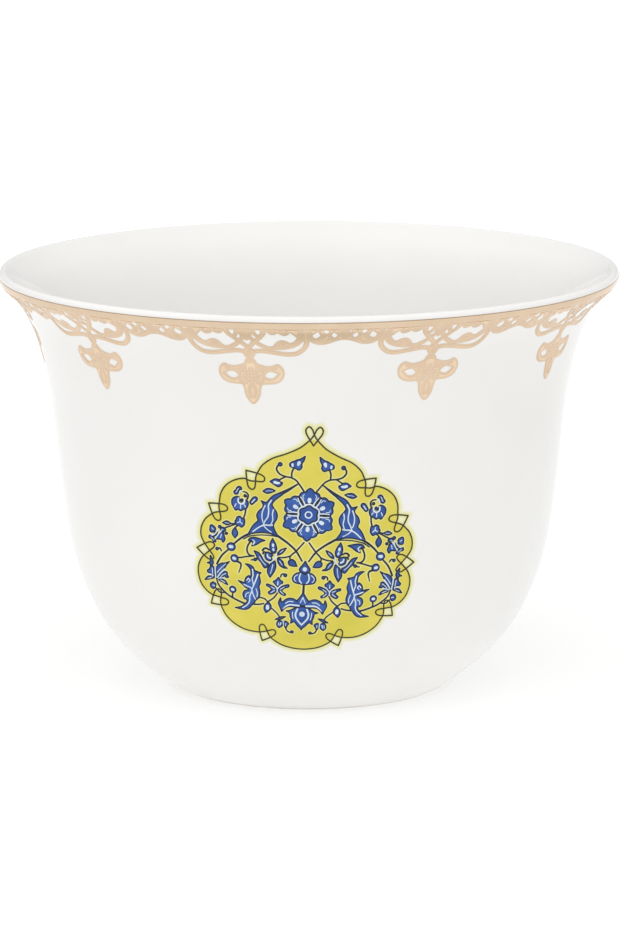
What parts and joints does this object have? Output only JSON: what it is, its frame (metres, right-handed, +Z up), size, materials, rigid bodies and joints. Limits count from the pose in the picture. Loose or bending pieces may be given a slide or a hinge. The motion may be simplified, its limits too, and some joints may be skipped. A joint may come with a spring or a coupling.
{
  "type": "arabic coffee cup",
  "caption": "Small handleless porcelain coffee cup with a flared rim, a gold lace border under the lip and a printed yellow and blue medallion; holds hot coffee.",
  "frame": {"origin": "centre of the ring the cup stands on, at table height", "axes": "+Z up along the axis of the cup; the medallion in the picture faces -Y"},
  "size_m": [0.0742, 0.0742, 0.0506],
  "materials": {
    "bisque": "unglazed, finely ground foot",
    "glaze": "clear high gloss over white porcelain",
    "gold": "bright pale gold, fired on the glaze",
    "enamel_pale": "thin pale yellow print, glossy",
    "enamel_yellow": "mustard yellow print, glossy",
    "enamel_dark": "blackish line print, glossy",
    "enamel_blue": "cobalt blue print, glossy",
    "enamel_white": "white print, glossy"
  },
  "bodies": {
    "root": {"porcelain_body": "bisque", "glaze_coat": "glaze", "foot_well_glaze": "glaze", "gold_rim_band": "gold", "gold_lace_border": "gold", "front_medallion_halo": "enamel_pale", "front_medallion_ground": "enamel_yellow", "front_medallion_line": "enamel_dark", "front_medallion_blue": "enamel_blue", "front_medallion_white": "enamel_white", "back_medallion_halo": "enamel_pale", "back_medallion_ground": "enamel_yellow", "back_medallion_line": "enamel_dark", "back_medallion_blue": "enamel_blue", "back_medallion_white": "enamel_white"}
  },
  "joints": []
}
